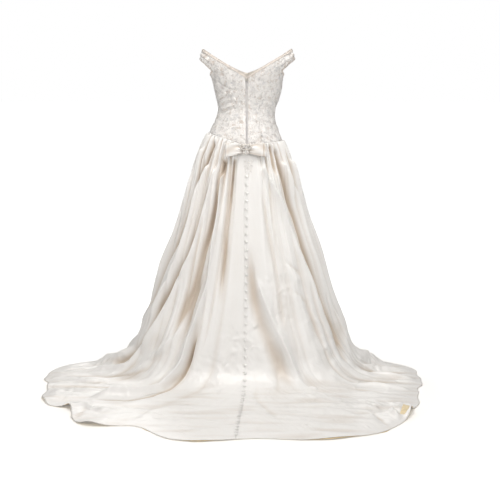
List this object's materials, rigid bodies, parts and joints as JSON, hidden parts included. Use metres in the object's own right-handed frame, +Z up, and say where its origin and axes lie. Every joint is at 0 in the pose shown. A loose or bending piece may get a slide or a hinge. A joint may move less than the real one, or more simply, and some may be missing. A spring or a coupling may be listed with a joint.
{
  "type": "wedding dress",
  "caption": "Off-the-shoulder lace and satin bridal gown with a V back, flat bow, covered buttons and a train spread on the floor, open and hollow as worn.",
  "frame": {"origin": "centre of the natural waist on the wearer's upright centre line, where the fitted bodice is held", "axes": "+Z up the wearer, -Y the way the wearer faces so that the train lies towards +Y, +X to the wearer's left"},
  "size_m": [1.5586, 1.5506, 1.3602],
  "materials": {
    "satin": "ivory bridal satin with a soft sheen",
    "lace": "embroidered and beaded lace on ivory satin",
    "piping": "light corded satin edge",
    "lining": "warm pale lining",
    "zip": "grey zip tape and coil",
    "beads": "pearls and clear beads"
  },
  "bodies": {
    "root": {"skirt_front": "satin", "skirt_side_front_left": "satin", "skirt_side_front_right": "satin", "skirt_side_back_left": "satin", "skirt_side_back_right": "satin", "skirt_back_left": "satin", "skirt_back_right": "satin", "button_strip_1": "satin", "button_strip_2": "satin", "button_strip_3": "satin", "button_strip_4": "satin", "button_strip_5": "satin", "bow_loop_left": "satin", "bow_loop_right": "satin", "bow_knot": "satin", "bodice_front": "lace", "bodice_side_front_left": "lace", "bodice_side_front_right": "lace", "bodice_side_back_left": "lace", "bodice_side_back_right": "lace", "bodice_back_left": "lace", "bodice_back_right": "lace", "shoulder_band_left": "lace", "shoulder_band_right": "lace", "neck_piping": "piping", "armhole_piping_left": "piping", "armhole_piping_right": "piping", "train_lining_left": "lining", "train_lining_right": "lining", "zip_tape_left": "zip", "zip_tape_right": "zip", "zip_chain": "zip", "zip_slider": "zip", "bow_brooch": "beads", "lace_motif": "beads"}
  },
  "joints": []
}
